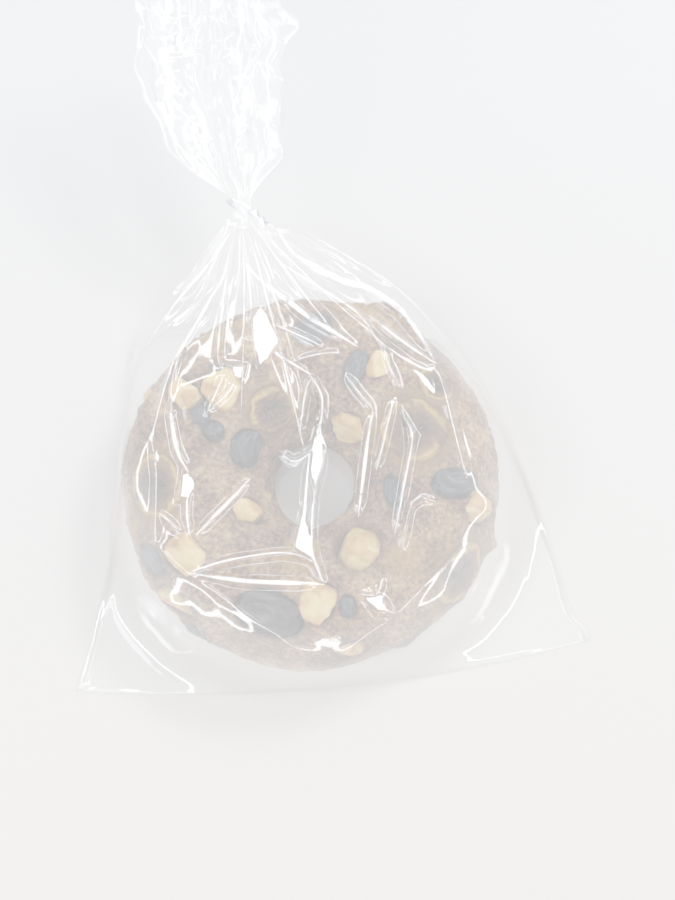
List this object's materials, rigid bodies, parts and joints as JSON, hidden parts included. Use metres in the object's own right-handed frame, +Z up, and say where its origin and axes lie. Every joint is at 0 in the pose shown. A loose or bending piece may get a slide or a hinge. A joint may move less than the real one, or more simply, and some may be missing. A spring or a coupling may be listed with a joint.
{
  "type": "honey cake",
  "caption": "Small ring-shaped honey cake with nuts, raisins, a prune and banana slices baked into its top, in a clear film bag closed with a twist tie.",
  "frame": {"origin": "under the middle of the whole thing, bag included, on the surface that it lies on", "axes": "+Z up from the surface, +Y from the bag's bottom seam towards its tied neck and mouth, +X to the right seen from above with the mouth at the back"},
  "size_m": [0.184, 0.257, 0.0888],
  "materials": {
    "dough": "baked crumb, matte",
    "nut": "toasted nut, satin",
    "raisin": "wrinkled skin, semi-gloss",
    "prune": "sticky skin, semi-gloss",
    "banana": "baked fruit, satin",
    "film": "clear crisp film, gloss",
    "tie": "metallised foil, satin"
  },
  "bodies": {
    "root": {"honey_cake": "dough", "nut_01": "nut", "nut_02": "nut", "nut_03": "nut", "nut_04": "nut", "nut_05": "nut", "nut_06": "nut", "nut_07": "nut", "nut_08": "nut", "nut_09": "nut", "nut_10": "nut", "nut_11": "nut", "nut_12": "nut", "raisin_01": "raisin", "raisin_02": "raisin", "raisin_03": "raisin", "raisin_04": "raisin", "raisin_05": "raisin", "raisin_06": "raisin", "raisin_07": "raisin", "raisin_08": "raisin", "raisin_09": "raisin", "raisin_10": "raisin", "raisin_11": "raisin", "prune_01": "prune", "banana_slice_1": "banana", "banana_slice_2": "banana", "banana_slice_3": "banana", "banana_slice_4": "banana", "banana_slice_5": "banana", "film_bag": "film", "film_end": "film", "twist_tie": "tie"}
  },
  "joints": []
}
